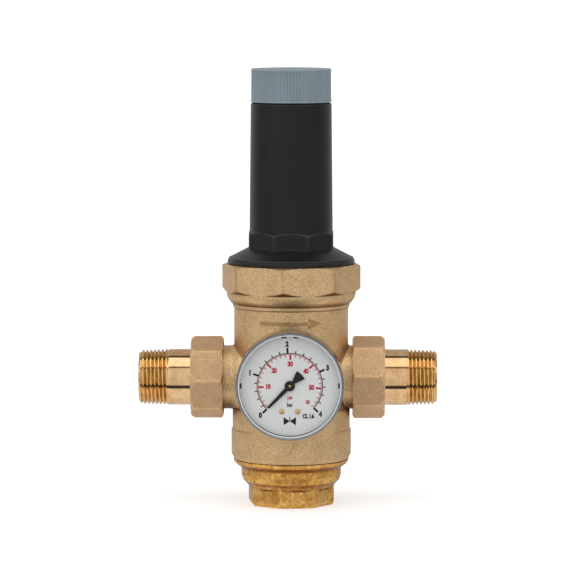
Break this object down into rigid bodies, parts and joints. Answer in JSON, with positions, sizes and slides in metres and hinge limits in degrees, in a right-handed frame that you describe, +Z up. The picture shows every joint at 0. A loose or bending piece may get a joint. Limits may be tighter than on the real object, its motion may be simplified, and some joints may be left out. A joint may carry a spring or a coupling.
{
  "type": "pressure reducing valve",
  "caption": "Brass pressure reducing valve with black spring bonnet, adjusting knob, union ends, filter bowl and front pressure gauge.",
  "frame": {"origin": "middle of the filter bowl's flat underside, on the axis of the spring bonnet", "axes": "+X is the flow direction, towards the outlet; the gauge faces -Y; +Z is up along the bonnet axis"},
  "size_m": [0.178, 0.109, 0.2608],
  "materials": {
    "cast_brass": "sand-cast, satin, speckled",
    "blasted_brass": "shot-blasted, matte",
    "bowl_brass": "rough cast, golden",
    "polished_brass": "turned and polished",
    "machined_brass": "machined",
    "black_plastic": "satin moulded",
    "grey_plastic": "satin moulded, ribbed",
    "insert_plastic": "moulded",
    "rubber": "smooth",
    "spring_steel": "drawn wire",
    "stainless": "machined",
    "chrome": "polished",
    "dial_paint": "printed matte",
    "pointer_paint": "satin black",
    "clear_window": "clear"
  },
  "bodies": {
    "valve_body": {"housing": "cast_brass", "valve_cartridge": "insert_plastic", "cartridge_oring_lower": "rubber", "cartridge_oring_upper": "rubber", "stem_oring": "rubber", "diaphragm": "rubber", "slip_ring": "insert_plastic", "spring_bonnet": "black_plastic", "adjusting_spring": "spring_steel", "thrust_washer": "insert_plastic", "gauge_case": "chrome", "gauge_window": "clear_window", "gauge_dial": "dial_paint", "dial_screw_left": "machined_brass", "dial_screw_right": "machined_brass", "movement_back_plate": "machined_brass", "movement_front_plate": "machined_brass", "movement_post_left": "machined_brass", "movement_post_right": "machined_brass", "bourdon_tube": "machined_brass", "tube_tip": "machined_brass", "gauge_socket": "polished_brass", "gauge_seal": "rubber", "rear_plug": "polished_brass", "rear_plug_seal": "rubber"},
    "stem_set": {"valve_stem": "machined_brass", "disc_nut": "machined_brass", "valve_disc": "machined_brass", "seat_seal": "rubber", "diaphragm_plate": "machined_brass", "spring_seat": "stainless", "stem_nut": "machined_brass"},
    "spring_nut": {"spring_nut": "black_plastic"},
    "knob_set": {"adjustment_knob": "grey_plastic", "knob_screw": "stainless", "adjusting_spindle": "machined_brass"},
    "filter_set": {"sieve_frame": "insert_plastic", "filter_sieve": "stainless", "bowl_oring": "rubber"},
    "bowl": {"filter_bowl": "bowl_brass"},
    "inlet_tail": {"inlet_tailpiece": "polished_brass", "inlet_gasket": "rubber"},
    "inlet_nut": {"inlet_union_nut": "blasted_brass"},
    "outlet_tail": {"outlet_tailpiece": "polished_brass", "outlet_gasket": "rubber"},
    "outlet_nut": {"outlet_union_nut": "blasted_brass"},
    "pointer_set": {"gauge_pointer": "pointer_paint", "pointer_shaft": "machined_brass", "pinion": "machined_brass"},
    "sector_set": {"sector_gear": "machined_brass", "sector_shaft": "stainless"},
    "link": {"gauge_link": "machined_brass"}
  },
  "joints": [
    {"name": "knob_turn", "type": "hinge", "parent": "valve_body", "child": "knob_set", "pos_m": [0, 0, 0.2508], "axis": [0, 0, 1], "range_deg": [-2160, 0]},
    {"name": "spring_nut_travel", "type": "slide", "parent": "valve_body", "child": "spring_nut", "axis": [0, 0, 1], "range_m": [-0.0121, 0], "deforming": ["adjusting_spring"]},
    {"name": "stem_stroke", "type": "slide", "parent": "valve_body", "child": "stem_set", "axis": [0, 0, 1], "range_m": [0, 0.003], "deforming": ["diaphragm"]},
    {"name": "filter_slide", "type": "slide", "parent": "valve_body", "child": "filter_set", "axis": [0, 0, -1], "range_m": [0, 0.0081]},
    {"name": "bowl_turn", "type": "hinge", "parent": "filter_set", "child": "bowl", "pos_m": [0, 0, 0.02], "axis": [0, 0, -1], "range_deg": [0, 1440]},
    {"name": "inlet_slide", "type": "slide", "parent": "valve_body", "child": "inlet_tail", "axis": [-1, 0, 0], "range_m": [0, 0.0117]},
    {"name": "inlet_nut_turn", "type": "hinge", "parent": "inlet_tail", "child": "inlet_nut", "pos_m": [-0.05, 0, 0.0762], "axis": [-1, 0, 0], "range_deg": [0, 1800]},
    {"name": "outlet_slide", "type": "slide", "parent": "valve_body", "child": "outlet_tail", "axis": [1, 0, 0], "range_m": [0, 0.0117]},
    {"name": "outlet_nut_turn", "type": "hinge", "parent": "outlet_tail", "child": "outlet_nut", "pos_m": [0.046, 0, 0.0762], "axis": [1, 0, 0], "range_deg": [0, 1800]},
    {"name": "pointer_turn", "type": "hinge", "parent": "valve_body", "child": "pointer_set", "pos_m": [0, -0.0617, 0.0781], "axis": [0, 1, 0], "range_deg": [0, 268.4], "stiffness_Nm_per_rad": 0.0005, "springref_deg": -17.19},
    {"name": "sector_turn", "type": "hinge", "parent": "valve_body", "child": "sector_set", "pos_m": [0, -0.052, 0.0631], "axis": [0, 1, 0], "range_deg": [-32.6, 0]},
    {"name": "link_turn", "type": "hinge", "parent": "sector_set", "child": "link", "pos_m": [0.00168, -0.0535, 0.06886], "axis": [0, 1, 0], "range_deg": [0, 32.6]}
  ],
  "couplings": [
    {"joint": "spring_nut_travel", "follows": "knob_turn", "m_per_rad": 0.00031831},
    {"joint": "filter_slide", "follows": "bowl_turn", "m_per_rad": 0.00031831},
    {"joint": "inlet_slide", "follows": "inlet_nut_turn", "m_per_rad": 0.00036749},
    {"joint": "outlet_slide", "follows": "outlet_nut_turn", "m_per_rad": 0.00036749},
    {"joint": "sector_turn", "follows": "pointer_turn", "ratio": -0.12121},
    {"joint": "link_turn", "follows": "pointer_turn", "ratio": 0.12121}
  ]
}
